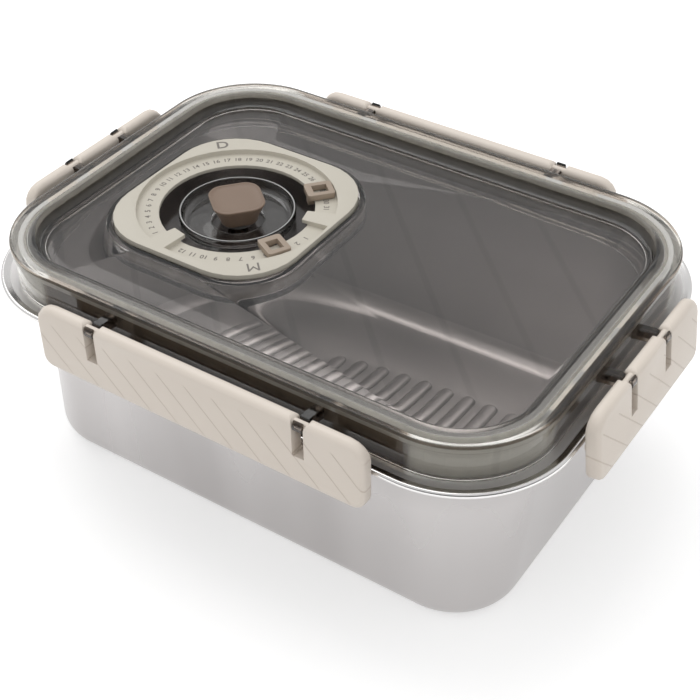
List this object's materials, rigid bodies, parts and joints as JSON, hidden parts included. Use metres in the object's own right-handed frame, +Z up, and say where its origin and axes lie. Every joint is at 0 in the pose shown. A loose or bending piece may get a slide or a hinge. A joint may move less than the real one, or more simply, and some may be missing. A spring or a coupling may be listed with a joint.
{
  "type": "food container",
  "caption": "Rectangular steel food tub with a clear lid, four hinged side latches, and a date dial with a lifting vent plug in a well of the lid.",
  "frame": {"origin": "on the surface that the tub stands on, below the middle of the container", "axes": "+X along the long side, away from the date dial; +Z up, towards the lid; -Y towards the front long side"},
  "size_m": [0.2263, 0.166, 0.0835],
  "materials": {
    "steel": "satin drawn stainless steel, brighter on the rolled edge",
    "clear_lid": "smoky clear moulded plastic, glossy",
    "silicone": "pale matt silicone",
    "cream_plastic": "cream moulded plastic, satin, printed numbers",
    "clear_dish": "clear moulded plastic, polished",
    "beige_plastic": "grey-beige moulded plastic, satin",
    "latch_plastic": "cream moulded plastic, satin, fine slanted lines"
  },
  "bodies": {
    "container": {"tub": "steel"},
    "cover": {"lid": "clear_lid", "gasket": "silicone", "dial_plate": "cream_plastic", "vent_cup": "clear_dish"},
    "vent": {"vent_knob": "beige_plastic", "vent_seal": "silicone"},
    "day_marker": {"day_slider": "beige_plastic"},
    "month_marker": {"month_slider": "beige_plastic"},
    "front_latch": {"latch_front": "latch_plastic"},
    "right_latch": {"latch_right": "latch_plastic"},
    "back_latch": {"latch_back": "latch_plastic"},
    "left_latch": {"latch_left": "latch_plastic"}
  },
  "joints": [
    {"name": "lid_lift", "type": "slide", "parent": "container", "child": "cover", "axis": [0, 0, 1], "range_m": [0, 0.09]},
    {"name": "front_latch_hinge", "type": "hinge", "parent": "cover", "child": "front_latch", "pos_m": [0, -0.0804, 0.0794], "axis": [-1, 0, 0], "range_deg": [0, 110]},
    {"name": "right_latch_hinge", "type": "hinge", "parent": "cover", "child": "right_latch", "pos_m": [0.1094, 0, 0.0794], "axis": [0, -1, 0], "range_deg": [-7, 103]},
    {"name": "back_latch_hinge", "type": "hinge", "parent": "cover", "child": "back_latch", "pos_m": [0, 0.0804, 0.0794], "axis": [1, 0, 0], "range_deg": [0, 110]},
    {"name": "left_latch_hinge", "type": "hinge", "parent": "cover", "child": "left_latch", "pos_m": [-0.1094, 0, 0.0794], "axis": [0, 1, 0], "range_deg": [0, 110]},
    {"name": "vent_pull", "type": "slide", "parent": "cover", "child": "vent", "axis": [0, 0, 1], "range_m": [0, 0.003]},
    {"name": "day_turn", "type": "hinge", "parent": "cover", "child": "day_marker", "pos_m": [-0.0443, 0, 0.0786], "axis": [0, 0, 1], "range_deg": [-16.5, 191]},
    {"name": "month_turn", "type": "hinge", "parent": "cover", "child": "month_marker", "pos_m": [-0.0443, 0, 0.0786], "axis": [0, 0, 1], "range_deg": [-58, 25.5]}
  ]
}
